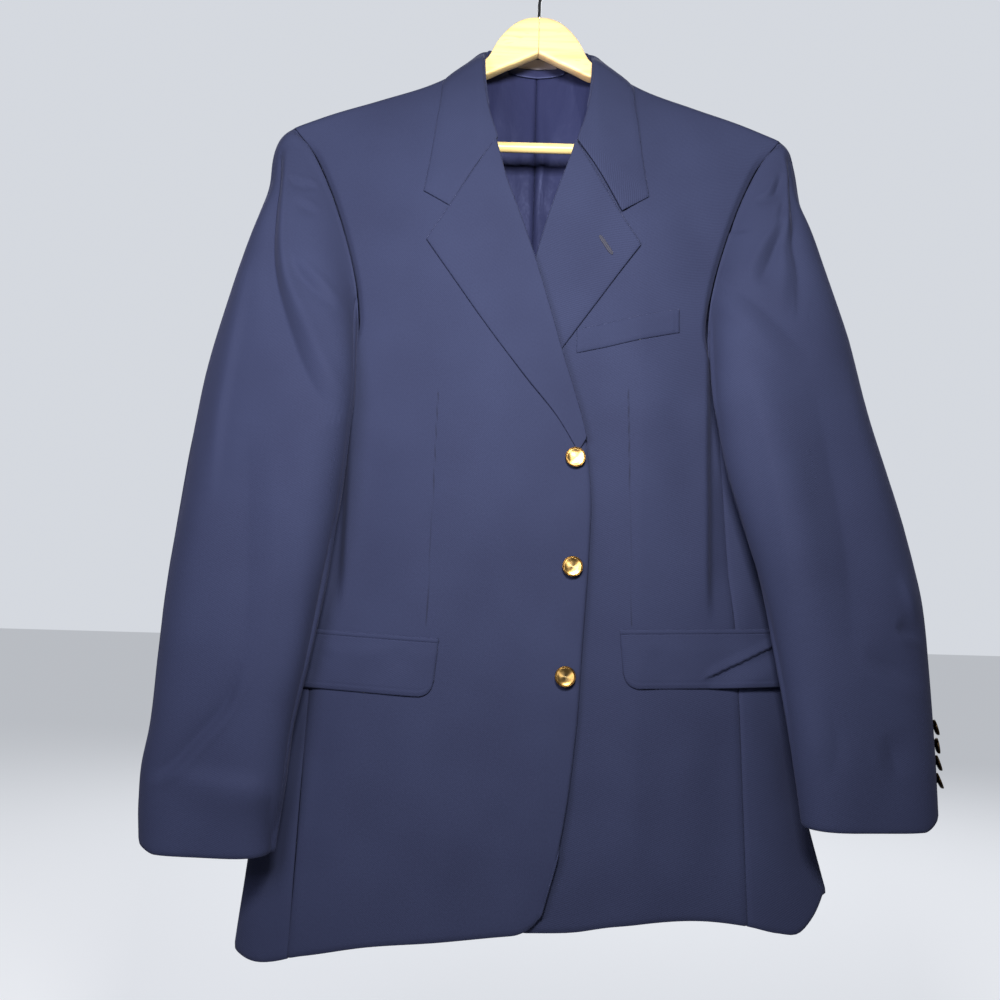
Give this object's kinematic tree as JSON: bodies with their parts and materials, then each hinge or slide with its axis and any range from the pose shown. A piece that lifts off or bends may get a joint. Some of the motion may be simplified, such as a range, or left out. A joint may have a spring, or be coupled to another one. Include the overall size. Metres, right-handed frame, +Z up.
{
  "type": "single breasted blazer on a wooden hanger",
  "caption": "Navy wool blazer with notch lapels, flap pockets and brass buttons, hanging unbuttoned on a pale wooden hanger with a wire hook.",
  "frame": {"origin": "inside of the hook's top bend, where a rail carries the hanger", "axes": "+Z up, the jacket's front faces -Y, the wearer's left is at +X"},
  "size_m": [0.7628, 0.1477, 1.0728],
  "materials": {
    "wool_cloth": "matt navy wool",
    "satin_lining": "navy satin",
    "label_ribbon": "grey ribbon, bare",
    "brass_buttons": "spun brass",
    "hanger_wood": "pale lacquered wood",
    "hook_wire": "chromed wire"
  },
  "bodies": {
    "root": {"back_left": "wool_cloth", "back_lining_left": "satin_lining", "back_lining_right": "satin_lining", "back_right": "wool_cloth", "button_1": "brass_buttons", "button_2": "brass_buttons", "button_3": "brass_buttons", "chest_welt": "wool_cloth", "collar": "wool_cloth", "collar_stand": "wool_cloth", "cuff_button_left_1": "brass_buttons", "cuff_button_left_2": "brass_buttons", "cuff_button_left_3": "brass_buttons", "cuff_button_left_4": "brass_buttons", "cuff_button_right_1": "brass_buttons", "cuff_button_right_2": "brass_buttons", "cuff_button_right_3": "brass_buttons", "cuff_button_right_4": "brass_buttons", "flap_left": "wool_cloth", "flap_right": "wool_cloth", "front_left": "wool_cloth", "front_right": "wool_cloth", "hanger_arm_left": "hanger_wood", "hanger_arm_right": "hanger_wood", "hook": "hook_wire", "jet_left": "wool_cloth", "jet_right": "wool_cloth", "lapel_left": "wool_cloth", "lapel_right": "wool_cloth", "locker_loop": "satin_lining", "neck_label": "label_ribbon", "side_left": "wool_cloth", "side_right": "wool_cloth", "top_sleeve_left": "wool_cloth", "top_sleeve_right": "wool_cloth", "trouser_bar": "hanger_wood", "under_sleeve_left": "wool_cloth", "under_sleeve_right": "wool_cloth"}
  },
  "joints": []
}
